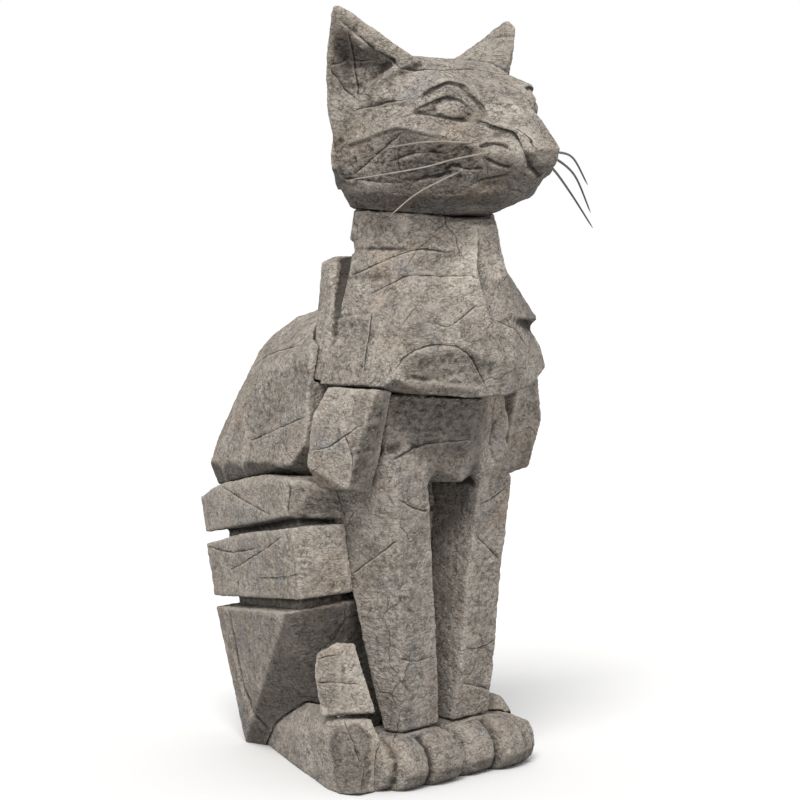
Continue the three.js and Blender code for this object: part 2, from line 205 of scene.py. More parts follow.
def curve(points, per_span=8):
    """A smooth Catmull-Rom path through the points."""
    p = np.vstack([2 * points[0] - points[1], points, 2 * points[-1] - points[-2]])
    out = []
    for i in range(1, len(p) - 2):
        for k in range(per_span):
            t = k / per_span
            out.append(
                0.5
                * (
                    2 * p[i]
                    + (p[i + 1] - p[i - 1]) * t
                    + (2 * p[i - 1] - 5 * p[i] + 4 * p[i + 1] - p[i + 2]) * t * t
                    + (3 * p[i] - p[i - 1] - 3 * p[i + 1] + p[i + 2]) * t**3
                )
            )
    out.append(p[-2])
    return np.array(out)


# ---- one stone, from its CAD nodes ----
def new_mesh(name, nodes, voxel, close=0.5 * MM):
    """The nodes' shapes as one even, dense mesh. Several nodes grow by close, and shrink back, to join up."""
    shapes = bmesh.new()
    for node in nodes:
        shapes.from_mesh(NODES[node].data)
    mesh = bpy.data.meshes.new(name)
    shapes.to_mesh(mesh)
    shapes.free()
    obj = bpy.data.objects.new(name, mesh)
    bpy.context.scene.collection.objects.link(obj)
    weld = obj.modifiers.new("weld", "WELD")
    weld.merge_threshold = 1e-6
    remesh(obj, voxel)
    if len(nodes) > 1:
        grown = coords(obj.data) + normals(obj.data) * close
        set_coords(obj.data, grown)
        remesh(obj, voxel)
        shrunk = coords(obj.data) - normals(obj.data) * close
        set_coords(obj.data, shrunk)
    return obj


def remesh(obj, voxel):
    dense = obj.modifiers.new("dense", "REMESH")
    dense.mode = "VOXEL"
    dense.voxel_size = voxel
    bake_modifiers(obj)


def bake_modifiers(obj):
    graph = bpy.context.evaluated_depsgraph_get()
    graph.update()
    mesh = bpy.data.meshes.new_from_object(obj.evaluated_get(graph))
    old = obj.data
    obj.modifiers.clear()
    obj.data = mesh
    bpy.data.meshes.remove(old)


class Clay:
    """A dense stone being carved: its arrays, and the values kept for each of its points: its finish, and the
    painted light and shade in its tone.
    """

    def __init__(self, obj):
        self.mesh = obj.data
        self.ed = edges(self.mesh)
        self.co = coords(self.mesh)
        self.no = normals(self.mesh)
        count = len(self.co)
        self.groove = np.zeros(count)
        self.rough = np.full(count, 0.2)
        # tone multiplies the colour: painted light and shade, 1 where none is painted.
        self.tone = np.ones(count)
        self.lines = [np.full(count, FAR), np.full(count, FAR)]
        self.shown = [np.zeros(count), np.zeros(count)]

    def refresh(self):
        set_coords(self.mesh, self.co)
        self.no = normals(self.mesh)

    def push(self, at, amount):
        """Move the points at these places in the array outwards, in millimetres."""
        self.co[at] += self.no[at] * (amount * MM)[:, None]
        self.refresh()

    def beside(self, path, reach=9.0):
        """The points near a path, their millimetres from it, their share along it and their side of it."""
        low = path.min(0) - reach * MM
        high = path.max(0) + reach * MM
        at = np.nonzero(((self.co > low) & (self.co < high)).all(1))[0]
        d, along, side = path_distance(self.co[at], self.no[at], path)
        return at, d / MM, along, side

    def ball(self, centre, radii):
        """The points inside an ellipsoid, and how deep inside it from 0 at its skin to 1."""
        r = (((self.co - centre) / (np.array(radii) * MM)) ** 2).sum(1)
        at = np.nonzero(r < 1)[0]
        return at, 1 - r[at]

    def cut(self, paths, depth, half, fade=6.0, dark=1.0):
        """A groove along a path: depth and half width in millimetres. dark sets how strongly the groove is
        painted with shade, through the cavity.
        """
        for points in paths:
            at, d, along, _ = self.beside(curve(points))
            ends = np.clip(np.minimum(along, 1 - along) * fade + 0.15, 0, 1)
            shape = np.exp(-((d / half) ** 2)) * ends
            self.groove[at] += shape * dark
            self.push(at, -shape * depth)

    def terrace(self, paths, height, reach, flip=False):
        """One side of a path stands proud of the other and falls away with distance."""
        for k, points in enumerate(paths):
            at, d, along, side = self.beside(curve(points), reach * 2.2)
            ends = np.clip(np.minimum(along, 1 - along) * 5, 0, 1)
            turned = -1 if flip != (k == 1) else 1
            lift = np.clip(d * side * turned / 0.8 + 0.5, 0, 1) * np.exp(-((d / reach) ** 2))
            self.push(at, lift * ends * height)

    def swell(self, paths, height, radii):
        """A smooth swelling, or a hollow where height is negative, round each point."""
        for centre in np.vstack(paths):
            at, depth = self.ball(centre, radii)
            self.push(at, depth * height)

    def paint(self, values, paths, radii, value):
        """Blend one of the kept values, the rough finish or the tone with its painted light and shade,
        towards a new one round each point.
        """
        for centre in np.vstack(paths):
            at, depth = self.ball(centre, radii)
            values[at] += (value - values[at]) * np.clip(depth / 0.4, 0, 1)

    def shade_side(self, paths, value, reach, flip=False):
        """Painted shade on one side of a path, as far as the reach, or painted light where the value is above
        1.
        """
        for k, points in enumerate(paths):
            at, d, along, side = self.beside(curve(points), reach)
            turned = -1 if flip != (k == 1) else 1
            inside = (along > 0.0) & (along < 1.0)
            share = np.clip(d * side * turned / 0.6 + 0.5, 0, 1) * np.clip((reach - d) / (0.35 * reach), 0, 1)
            self.tone[at] *= 1 + (value - 1) * share * inside

    def soften(self, paths, radii, rounds):
        """Melt the edges round each point."""
        for centre in np.vstack(paths):
            at, depth = self.ball(centre, radii)
            local = np.full(len(self.co), -1)
            local[at] = np.arange(len(at))
            ed = local[self.ed]
            ed = ed[(ed >= 0).all(1)]
            degree = np.maximum(np.bincount(ed.ravel(), minlength=len(at)), 1)
            weight = (0.7 * np.clip(depth / 0.5, 0, 1))[:, None]
            patch = self.co[at]
            for _ in range(rounds):
                patch = patch + weight * (neighbour_mean(patch, ed, degree) - patch)
            self.co[at] = patch
        self.refresh()

    def crack(self, layer, paths, depth=0.3):
        """Long fracture lines, kept as signed millimetres from the line so that they stay thin."""
        for points in paths:
            at, d, along, side = self.beside(curve(points, 6), 5.0)
            inside = (along > 0.0) & (along < 1.0)
            fade = np.clip(np.minimum(along, 1 - along) * 9 + 0.25, 0, 1)
            near = d < np.abs(self.lines[layer][at])
            self.lines[layer][at[near]] = (d * side)[near]
            self.shown[layer][at[near]] = (inside * fade * np.clip((FAR - 0.4 - d) / 0.8, 0, 1))[near]
            self.push(at, -0.62 * depth * np.exp(-((d / 0.7) ** 2)) * inside * fade)

    def store_finish_and_painted_light(self):
        # Painted shade: faces turned downwards get darker, the more so the further down they face.
        under = np.clip((-self.no[:, 2] - 0.05) / 0.45, 0, 1)
        put_attribute(self.mesh, "rough", self.rough)
        put_attribute(self.mesh, "tone", self.tone * (1 - UNDER_SHADE * smooth(under, self.ed, 3)))
        for k in range(2):
            put_attribute(self.mesh, "line_%d" % k, self.lines[k])
            put_attribute(self.mesh, "shown_%d" % k, self.shown[k])


def either(*points):
    """The same path on both sides of the cat."""
    path = pts(*points)
    return [path, mirrored(path)]


def one(*points):
    return [pts(*points)]


# ---- textures shared by the relief and the finish, in metres of the frame ----
def add(nt, kind, **inputs):
    node = nt.nodes.new(kind)
    for key, value in inputs.items():
        setattr(node, key, value)
    return node


def link(nt, a, b):
    nt.links.new(a, b)


def math_node(nt, op, a, b=None, c=None, clamp=False):
    node = add(nt, "ShaderNodeMath", operation=op, use_clamp=clamp)
    for socket, value in zip(node.inputs, (a, b, c)):
        if value is None:
            continue
        if isinstance(value, (int, float)):
            socket.default_value = value
        else:
            link(nt, value, socket)
    return node.outputs[0]


def ramp(nt, value, low, high, out_low=0.0, out_high=1.0, smoothed=True):
    node = add(nt, "ShaderNodeMapRange")
    node.interpolation_type = "SMOOTHSTEP" if smoothed else "LINEAR"
    link(nt, value, node.inputs["Value"])
    node.inputs["From Min"].default_value = low
    node.inputs["From Max"].default_value = high
    node.inputs["To Min"].default_value = out_low
    node.inputs["To Max"].default_value = out_high
    return node.outputs[0]


def noise(nt, where, size_mm, detail=3.0, rough=0.5):
    node = add(nt, "ShaderNodeTexNoise")
    link(nt, where, node.inputs["Vector"])
    node.inputs["Scale"].default_value = 1000.0 / size_mm
    node.inputs["Detail"].default_value = detail
    node.inputs["Roughness"].default_value = rough
    return node


def voronoi_edge(nt, where, size_mm):
    node = add(nt, "ShaderNodeTexVoronoi", feature="DISTANCE_TO_EDGE")
    link(nt, where, node.inputs["Vector"])
    node.inputs["Scale"].default_value = 1000.0 / size_mm
    return node.outputs["Distance"]


def bent(nt, where, size_mm, reach_mm, detail=2.0):
    """The place moved about by noise, so that straight cell edges wander."""
    n = noise(nt, where, size_mm, detail)
    centred = add(nt, "ShaderNodeVectorMath", operation="SUBTRACT")
    link(nt, n.outputs["Color"], centred.inputs[0])
    centred.inputs[1].default_value = (0.5, 0.5, 0.5)
    scaled = add(nt, "ShaderNodeVectorMath", operation="SCALE")
    link(nt, centred.outputs[0], scaled.inputs[0])
    scaled.inputs["Scale"].default_value = 2 * reach_mm * MM
    moved = add(nt, "ShaderNodeVectorMath", operation="ADD")
    link(nt, where, moved.inputs[0])
    link(nt, scaled.outputs[0], moved.inputs[1])
    return moved.outputs[0]


def stretched(nt, where, factors):
    node = add(nt, "ShaderNodeVectorMath", operation="MULTIPLY")
    link(nt, where, node.inputs[0])
    node.inputs[1].default_value = factors
    return node.outputs[0]


def isoline(nt, value, half):
    """1 on the wandering lines where a noise passes its middle, 0 away from them."""
    gap = math_node(nt, "ABSOLUTE", math_node(nt, "SUBTRACT", value, 0.5))
    return ramp(nt, gap, 0.0, half, 1.0, 0.0)


def crackle(nt, where):
    """Crack depth from 0 to 1: wandering hair cracks and a finer crumple, each shown in patches."""
    hair = isoline(nt, noise(nt, bent(nt, where, 5.0, 1.2), 7.5, 3.0, 0.55).outputs["Fac"], 0.012)
    hair_mask = ramp(nt, noise(nt, where, 7.0, 2.0).outputs["Fac"], 0.46, 0.58)
    slant = noise(nt, stretched(nt, bent(nt, where, 3.0, 0.8), (1.0, 1.0, 1.7)), 4.4, 3.0, 0.6)
    short = isoline(nt, slant.outputs["Fac"], 0.024)
    short_mask = ramp(nt, noise(nt, where, 3.8, 2.0).outputs["Fac"], 0.46, 0.56)
    split = voronoi_edge(nt, bent(nt, where, 12.0, 4.5, 3.0), 30.0)
    split = ramp(nt, split, 0.002, 0.009, 1.0, 0.0)
    split_mask = ramp(nt, noise(nt, where, 18.0, 2.0).outputs["Fac"], 0.53, 0.6)
    hair = math_node(nt, "MULTIPLY", math_node(nt, "MULTIPLY", hair, hair_mask), 0.8)
    short = math_node(nt, "MULTIPLY", math_node(nt, "MULTIPLY", short, short_mask), 0.75)
    split = math_node(nt, "MULTIPLY", math_node(nt, "MULTIPLY", split, split_mask), 0.8)
    return math_node(nt, "MAXIMUM", split, math_node(nt, "MAXIMUM", hair, short))


def crumple(nt, where):
    """Short sharp creases, level on the whole, and the puckered height between them."""
    place = stretched(nt, bent(nt, where, 3.2, 1.0), (1.0, 1.0, 1.8))
    gap = math_node(nt, "SUBTRACT", noise(nt, place, 3.6, 3.0, 0.55).outputs["Fac"], 0.5)
    gap = math_node(nt, "ABSOLUTE", gap)
    shown = ramp(nt, noise(nt, where, 5.0, 2.0).outputs["Fac"], 0.4, 0.55)
    crease = math_node(nt, "MULTIPLY", ramp(nt, gap, 0.004, 0.03, 1.0, 0.0), shown)
    return crease, math_node(nt, "MINIMUM", gap, 0.12)


def relief_height(nt, where, rough):
    """Millimetres of relief: crumpled folds where the stone is rough, faint dents elsewhere."""
    swell = noise(nt, where, 20.0, 2.0).outputs["Fac"]
    total = math_node(nt, "MULTIPLY", math_node(nt, "SUBTRACT", swell, 0.5), 0.9)
    place = stretched(nt, bent(nt, where, 6.0, 1.8), (0.8, 0.8, 1.9))
    folds = noise(nt, place, 6.5, 4.0, 0.55).outputs["Fac"]
    ridge = math_node(nt, "ABSOLUTE", math_node(nt, "SUBTRACT", folds, 0.5))
    ridge = math_node(nt, "SUBTRACT", math_node(nt, "MULTIPLY", ridge, 5.0), 0.5)
    amount = math_node(nt, "MULTIPLY_ADD", rough, 0.75, 0.12)
    total = math_node(nt, "ADD", total, math_node(nt, "MULTIPLY", ridge, amount))
    dents = noise(nt, where, 2.6, 3.0, 0.6).outputs["Fac"]
    amount = math_node(nt, "MULTIPLY_ADD", rough, 1.3, 0.3)
    dents = math_node(nt, "MULTIPLY", math_node(nt, "SUBTRACT", dents, 0.5), amount)
    return math_node(nt, "ADD", total, dents)


def relief_group():
    """Moves a stone's surface along its normal by the shared relief and cracks."""
    tree = bpy.data.node_groups.new("stone_relief", "GeometryNodeTree")
    tree.interface.new_socket("Geometry", in_out="INPUT", socket_type="NodeSocketGeometry")
    tree.interface.new_socket("Geometry", in_out="OUTPUT", socket_type="NodeSocketGeometry")
    into = tree.nodes.new("NodeGroupInput")
    out = tree.nodes.new("NodeGroupOutput")
    where = tree.nodes.new("GeometryNodeInputPosition").outputs[0]
    rough = tree.nodes.new("GeometryNodeInputNamedAttribute")
    rough.data_type = "FLOAT"
    rough.inputs["Name"].default_value = "rough"
    rough_value = rough.outputs["Attribute"]
    height = relief_height(tree, where, rough_value)
    cracks = math_node(tree, "MULTIPLY", crackle(tree, where), -0.16)
    height = math_node(tree, "ADD", height, cracks)
    height = math_node(tree, "MULTIPLY", height, MM)
    normal = tree.nodes.new("GeometryNodeInputNormal").outputs[0]
    offset = add(tree, "ShaderNodeVectorMath", operation="SCALE")
    link(tree, normal, offset.inputs[0])
    link(tree, height, offset.inputs["Scale"])
    move = tree.nodes.new("GeometryNodeSetPosition")
    link(tree, into.outputs[0], move.inputs["Geometry"])
    link(tree, offset.outputs[0], move.inputs["Offset"])
    link(tree, move.outputs[0], out.inputs[0])
    return tree


# ---- finishes ----
def mix_colour(nt, factor, a, b):
    node = add(nt, "ShaderNodeMix", data_type="RGBA", blend_type="MIX")
    link(nt, factor, node.inputs["Factor"])
    for socket, value in ((node.inputs[6], a), (node.inputs[7], b)):
        if isinstance(value, tuple):
            socket.default_value = value + (1.0,)
        else:
            link(nt, value, socket)
    return node.outputs[2]


def attribute(nt, name):
    node = add(nt, "ShaderNodeAttribute", attribute_name=name)
    return node.outputs["Fac"]


def fracture(nt, where, layer):
    """The long cracks: a thin dark line, and a painted highlight along one side of it, as if its raised edge
    caught the light.
    """
    wander = noise(nt, where, 3.5, 3.0).outputs["Fac"]
    wander = math_node(nt, "MULTIPLY", math_node(nt, "SUBTRACT", wander, 0.5), 1.1)
    place = math_node(nt, "ADD", attribute(nt, "line_%d" % layer), wander)
    shown = attribute(nt, "shown_%d" % layer)
    width = ramp(nt, noise(nt, where, 7.0, 2.0).outputs["Fac"], 0.35, 0.65, 0.1, 0.34)
    line = math_node(nt, "DIVIDE", math_node(nt, "ABSOLUTE", place), width)
    line = math_node(nt, "MULTIPLY", ramp(nt, line, 0.45, 1.1, 1.0, 0.0), shown)
    # Painted highlight: a pale band on one side of the line.
    painted_highlight = math_node(nt, "ABSOLUTE", math_node(nt, "SUBTRACT", place, 0.62))
    painted_highlight = math_node(nt, "MULTIPLY", ramp(nt, painted_highlight, 0.1, 0.45, 1.0, 0.0), shown)
    return line, painted_highlight


def tinted(nt, where, colour, size_mm, low, high, amount, other, squash=(1.0, 1.0, 1.0)):
    """A cloudy patch of another colour laid over the first."""
    cloud = noise(nt, stretched(nt, where, squash), size_mm, 5.0, 0.62).outputs["Fac"]
    return mix_colour(nt, ramp(nt, cloud, low, high, 0.0, amount), colour, other)


def stone_material(name, lift):
    """Unglazed stoneware carved like weathered stone. lift makes the lighter body colour. Its colour also
    carries painted shade in hollows, grooves and on downward faces, painted light and shade on chosen facets,
    and a painted highlight beside the long cracks.
    """
    mat = bpy.data.materials.new(name)
    mat.use_nodes = True
    nt = mat.node_tree
    bsdf = nt.nodes["Principled BSDF"]
    where = nt.nodes.new("ShaderNodeTexCoord").outputs["Object"]
    palette = (DARK, BODY, PALE, BRIGHT, WARM, COOL, CREVICE)
    dark, body, pale, bright, warm, cool, crevice = [tuple(v * lift for v in tone) for tone in palette]

    colour = tinted(nt, where, body, 13.0, 0.36, 0.66, 0.75, pale)
    colour = tinted(nt, where, colour, 26.0, 0.5, 0.7, 0.55, warm, (1.0, 1.1, 1.3))
    colour = tinted(nt, where, colour, 20.0, 0.52, 0.7, 0.6, cool, (1.2, 0.9, 1.0))
    colour = tinted(nt, where, colour, 4.2, 0.5, 0.68, 0.5, dark)
    rough = attribute(nt, "rough")
    # Rough patches are darkened a little: partly the rough stone's own colour, partly painted shade, as they
    # were laid on facets turned from the light.
    colour = mix_colour(nt, math_node(nt, "MULTIPLY", rough, 0.25, clamp=True), colour, dark)
    grain = noise(nt, stretched(nt, where, (1.0, 1.0, 1.6)), 1.3, 3.0, 0.7).outputs["Fac"]
    colour = mix_colour(nt, ramp(nt, grain, 0.36, 0.54, 0.55, 0.0), colour, dark)
    flecks = noise(nt, where, 0.9, 3.0, 0.7).outputs["Fac"]
    colour = mix_colour(nt, ramp(nt, flecks, 0.5, 0.66, 0.0, 0.3), colour, bright)

    crease, folded = crumple(nt, where)
    colour = mix_colour(nt, math_node(nt, "MULTIPLY", crease, 0.6), colour, dark)
    cracks = crackle(nt, where)
    colour = mix_colour(nt, math_node(nt, "MULTIPLY", cracks, 0.75), colour, crevice)
    wear = attribute(nt, "wear")
    colour = mix_colour(nt, math_node(nt, "MULTIPLY", wear, 0.45, clamp=True), colour, pale)
    # Painted shade in hollows and grooves, from the cavity attribute.
    cavity = attribute(nt, "cavity")
    colour = mix_colour(nt, math_node(nt, "MULTIPLY", cavity, 0.85, clamp=True), colour, crevice)
    height = math_node(nt, "MULTIPLY", cracks, -0.45)
    for layer in range(2):
        line, painted_highlight = fracture(nt, where, layer)
        # Painted highlight beside each long crack.
        colour = mix_colour(nt, math_node(nt, "MULTIPLY", painted_highlight, 0.4), colour, pale)
        colour = mix_colour(nt, math_node(nt, "MULTIPLY", line, 0.85), colour, crevice)
        height = math_node(nt, "SUBTRACT", height, line)
    # The tone attribute multiplies the colour: painted light and shade on chosen facets, and painted shade on
    # downward faces.
    shade = add(nt, "ShaderNodeVectorMath", operation="SCALE")
    link(nt, colour, shade.inputs[0])
    link(nt, attribute(nt, "tone"), shade.inputs["Scale"])
    link(nt, shade.outputs[0], bsdf.inputs["Base Color"])

    bsdf.inputs["Roughness"].default_value = 0.92
    bsdf.inputs["Specular IOR Level"].default_value = 0.2
    fine = noise(nt, where, 1.2, 4.0, 0.75).outputs["Fac"]
    coarse = noise(nt, where, 2.6, 3.0, 0.65).outputs["Fac"]
    height = math_node(nt, "ADD", height, math_node(nt, "MULTIPLY", fine, 0.8))
    height = math_node(nt, "ADD", height, math_node(nt, "MULTIPLY", coarse, 0.5))
    height = math_node(nt, "ADD", height, math_node(nt, "MULTIPLY", folded, 3.6))
    bump = nt.nodes.new("ShaderNodeBump")
    bump.inputs["Strength"].default_value = 0.9
    bump.inputs["Distance"].default_value = 0.8 * MM
    link(nt, height, bump.inputs["Height"])
    link(nt, bump.outputs["Normal"], bsdf.inputs["Normal"])
    return mat


def metal_material(name, colour, roughness, metallic=1.0):
    mat = bpy.data.materials.new(name)
    mat.use_nodes = True
    nt = mat.node_tree
    bsdf = nt.nodes["Principled BSDF"]
    where = nt.nodes.new("ShaderNodeTexCoord").outputs["Object"]
    mottle = noise(nt, where, 3.0, 3.0).outputs["Fac"]
    shade = ramp(nt, mottle, 0.35, 0.7)
    link(nt, mix_colour(nt, shade, tuple(v * 0.75 for v in colour), colour), bsdf.inputs["Base Color"])
    bsdf.inputs["Metallic"].default_value = metallic
    bsdf.inputs["Roughness"].default_value = roughness
    return mat


MATERIALS = {
    "stoneware": stone_material("stoneware", STONE_LIFT),
    "stoneware_light": stone_material("stoneware_light", LIGHT_STONE_LIFT),
    "steel_dowel": metal_material("steel_dowel", (0.6, 0.61, 0.62), 0.35),
    "wire_pale": metal_material("wire_pale", (0.26, 0.235, 0.2), 0.6, 0.1),
    "wire_dark": metal_material("wire_dark", (0.075, 0.068, 0.06), 0.45, 0.4),
}
RELIEF = relief_group()


# ---- carving, in the cat's own millimetres ----
# These points were chosen against the photograph and aren't worked out from the frame. Some are what
# a ray cast from its pixels onto the CAD gave, rounded to the millimetre. Others were then moved one by one.
def carve_eyes(clay):
    clay.soften(either((-15, -65, 246), (-17, -66, 241), (-12, -69, 248), (-17, -62, 250)), (9, 9, 9), 90)
    clay.soften(either((-24, -58, 248)), (13, 11, 10), 60)
    socket = either((-22, -60, 247))
    clay.paint(clay.rough, socket, (17, 17, 13), -0.15)
    brow = either(
        (-31, -52, 250.6), (-27, -57.5, 254.2), (-21.5, -60, 256), (-16.5, -63, 254.4),
        (-13, -67, 250),
    )
    clay.swell(either((-24, -59, 248.5)), -0.6, (10, 9, 6.5))
    clay.terrace(brow, 1.1, 4.5, True)
    clay.cut(brow, 0.7, 0.7, dark=1.6)
    clay.swell(one((21, -61, 250), (17, -63, 250.5)), 1.6, (6, 6, 4.5))
    ledge = either(
        (-18, -62, 254), (-15.5, -63.5, 251.6), (-14, -67, 248.4), (-14.6, -70, 245),
        (-15.6, -70.5, 242),
    )
    clay.terrace(ledge, 0.9, 4, True)
    clay.cut(ledge, 0.6, 0.7, 2.0, 1.3)
    # Painted shade in the pit at the inner corner of the eye.
    clay.paint(clay.tone, either((-16.5, -65.5, 245)), (4.5, 4.5, 4), 0.72)
    clay.crack(0, either((-39, -28, 246.5), (-35, -40, 249), (-31, -50, 250.5)), 0.4)
    clay.swell(either((-21.5, -61, 246.6)), 2.4, (7, 7, 4.2))
    upper = either(
        (-33, -51, 245.8), (-28.5, -56, 248.4), (-24.5, -59.5, 250.3), (-20, -62, 249.9),
        (-16, -65, 246),
    )
    lower = either((-33, -51, 245.6), (-28, -57, 244.6), (-23, -61, 243), (-17, -65, 243))
    clay.terrace(upper, 0.6, 2.2, True)
    clay.cut(upper, 0.7, 0.5, dark=1.5)
    clay.cut(lower, 0.8, 0.5, dark=1.3)
    clay.cut(either((-36, -49, 243.8), (-31, -54, 245.6), (-27, -57.5, 246.6)), 0.5, 0.5)


def carve_muzzle(clay):
    mouth = either(
        (-3, -81, 222), (-5, -75, 222), (-9, -74, 219), (-12, -69, 219), (-15, -66, 220),
        (-19, -66, 221),
    )
    clay.soften(mouth, (7, 7, 6), 70)
    clay.paint(clay.rough, either((-8, -76, 242), (-6, -82, 234), (-12, -76, 229)), (9, 9, 9), 0.0)
    line = either(
        (-17, -66, 242.6), (-16, -70, 241.4), (-13, -75, 239.4), (-10, -78.5, 238),
        (-8.6, -81, 234), (-7.6, -82, 230),
    )
    clay.terrace(line, 0.7, 3, True)
    clay.cut(line, 1.1, 0.7, dark=1.4)
    clay.cut(either((-7.8, -82, 231), (-6, -82, 227), (-3, -83, 224), (1, -83, 221.4)), 0.9, 0.9, 2.0, 2.0)
    clay.swell(either((-11.5, -77, 230)), 1.5, (9, 9, 7.5))
    clay.cut(either((-21.5, -72, 233.4), (-17, -75, 235), (-12.5, -78.5, 232.4)), 1.0, 0.6, dark=1.4)
    clay.cut(either((-19.5, -73, 229), (-15.5, -76, 227.2), (-11, -79, 226)), 0.7, 0.6)
    clay.cut(either((-19, -67, 219.8), (-15, -71, 221.6), (-12, -76, 223.2), (-10, -79, 225)), 0.9, 0.7, 2.0)
    clay.crack(0, either((-4, -85, 232), (-8, -78, 238.6)), 0.2)


def carve_cheeks(clay):
    corner = either((-37, -12, 220), (-36, -17, 220), (-37, -19, 219), (-37, -24, 218), (-36, -32, 218))
    clay.soften(corner, (9, 9, 8), 110)
    clay.soften(either((-39, -26, 242), (-41, -26, 245)), (7, 7, 7), 50)
    ridge = either((-39, -19, 233), (-39, -34, 235.5), (-38, -48, 239.5), (-32, -59, 237), (-22, -70, 234.5))
    clay.terrace(ridge, 1.1, 6, True)
    # Painted shade on the lower cheek, along the ridge.
    clay.shade_side(ridge, 0.88, 20)
    cheek = either((-38, -24, 226), (-36, -36, 227), (-34, -47, 228), (-29, -57, 228), (-24, -64, 228))
    clay.paint(clay.rough, cheek, (9, 9, 8), 1.1)
    clay.cut(either((-30, -48, 221), (-28, -53, 222.4), (-25.5, -59, 223.2), (-24, -64, 225)), 0.8, 0.6)
    clay.cut(either((-26, -59, 224.6), (-24, -63, 226.6), (-21.5, -67, 225), (-18, -71, 225.6)), 0.9, 0.6)
    clay.crack(1, either((-38, -28, 224), (-38.5, -38, 230), (-37.5, -50, 238)), 0.3)
    clay.crack(0, either((-38, -22, 222), (-37, -34, 221.5), (-34, -46, 219.5)), 0.4)
    clay.crack(0, either((-37, -44, 228), (-33, -54, 231), (-27, -63, 231)), 0.4)
    clay.crack(1, either((-31, -43, 261), (-22, -50, 261.5), (-10, -52, 262.5), (3, -50, 263)), 0.5)
    # Painted shade along the jaw, under the cheek.
    jaw = either((-34, -20, 213), (-32, -36, 213), (-28, -50, 213), (-20, -62, 214), (-12, -70, 215))
    clay.paint(clay.tone, jaw, (9, 10, 5), 0.74)


def carve_ears(clay):
    clay.soften(either((-44, -32, 273), (-43, -32, 270.5), (-42, -34, 268), (-40, -34, 266)), (5, 5, 5), 70)
    clay.soften(
        either((-46, -22, 266), (-45, -20, 258), (-43, -20, 250), (-46, -25, 272), (-40, -27, 249)),
        (8, 8, 8),
        90,
    )
    clay.swell(either((-47, -28.5, 281), (-43, -31, 273), (-36, -35, 268)), 0.8, (9, 9, 9))
    clay.crack(0, either((-47, -29, 279), (-43, -34, 273), (-36, -38, 267), (-30, -43, 261.5)), 0.6)
    clay.crack(1, either((-45.5, -32, 274), (-38, -27, 264), (-36, -28, 252)), 0.5)
    clay.crack(1, either((-45, -23, 261), (-40, -24, 257), (-38, -28, 251)), 0.5)
    clay.crack(0, either((-45, -24, 262), (-36, -27, 264.5), (-34, -34, 265)), 0.25)
    for x, y, z in ((-34.5, -38.5, 267), (-32.5, -39.5, 265.2), (-30.5, -40.5, 263.4)):
        clay.crack(1, either((x, y, z), (x + 3, y - 0.5, z + 2.6), (x + 6, y + 1.5, z + 4.5)), 0.4)
    hollow = either((-45, -24, 274), (-41, -24, 264), (-39, -26, 254), (-39, -27, 246))
    clay.paint(clay.rough, hollow, (9, 8, 10), 0.25)
    # Painted shade inside the ear hollow.
    clay.paint(clay.tone, hollow, (7, 7, 9), 0.92)


def carve_face(clay):
    carve_ears(clay)
    carve_eyes(clay)
    carve_muzzle(clay)
    carve_cheeks(clay)


def carve_mantle(clay):
    undercut = one((-27, -17, 197), (-27, -24, 197), (-27, -31, 197), (-26, -38, 197), (-23, -44, 197.5))
    clay.soften(undercut, (7, 8, 7), 110)
    clay.cut(undercut, 0.8, 0.7, 1.5, 1.5)
    clay.soften(one((-31, -51, 170), (-22, -57, 170), (-12, -61, 170), (-5, -62, 170)), (9, 8, 8), 60)
    clay.crack(0, one((-30, -19, 187), (-27, -34, 193), (-23, -45, 197), (-15, -52, 196)))
    clay.crack(1, one((-34, -29, 180), (-28, -42, 187), (-18, -53, 187.5), (-7, -60, 186)))
    clay.crack(1, one((-26, -56, 171), (-20, -58, 170), (-10, -62, 177)))
    oval = one((-32, -54, 154.5), (-25, -57, 156), (-17, -60, 156), (-10, -62, 153.5))
    clay.swell(oval, -0.9, (9, 8, 5.5))
    clay.paint(clay.rough, oval, (9, 9, 6), 0.6)
    # Painted shade in the sunken oval.
    clay.paint(clay.tone, oval, (9, 9, 6), 0.85)
    clay.crack(
        0,
        one((-42, -48, 152), (-36, -52, 160), (-26, -56, 163), (-15, -61, 160.5), (-5, -62, 147)),
        0.45,
    )
    clay.terrace(one((-42, -50, 152.4), (-34, -54, 151), (-22, -58, 149.4), (-8, -62, 147.4)), 1.1, 3)
    facet = one((-37, -25, 168), (-38, -30, 163), (-40, -25, 158), (-40, -31, 156))
    clay.swell(facet, -0.3, (8, 8, 6))
    clay.paint(clay.rough, facet, (8, 8, 6), 0.45)
    clay.paint(clay.tone, facet, (8, 8, 6), 0.92)
    clay.terrace(one((-35, -12, 171), (-35.5, -24, 173), (-35.5, -34, 173.6)), 0.9, 2.5)
    clay.crack(1, one((-35.5, -34, 174), (-39, -35, 164), (-42, -37, 153)), 0.2)
    # Painted shadow of the head on the neck.
    clay.paint(clay.tone, one((-22, -46, 203), (-26, -34, 203), (-15, -52, 203)), (9, 10, 6), 0.76)
    facet_edge = one((-5, -56, 207), (-6, -59, 197), (-8, -61, 188), (-6, -62, 179))
    clay.terrace(facet_edge, 0.9, 5)
    # Painted light on the neck's front facet: along its edge, then across the facet.
    clay.shade_side(facet_edge, 1.3, 14)
    clay.paint(clay.tone, one((2, -58, 204), (3, -59, 194), (8, -58, 196)), (9, 8, 9), 1.5)
    clay.crack(0, one((0, -61, 171), (14, -60, 166), (24, -58, 160)), 0.3)


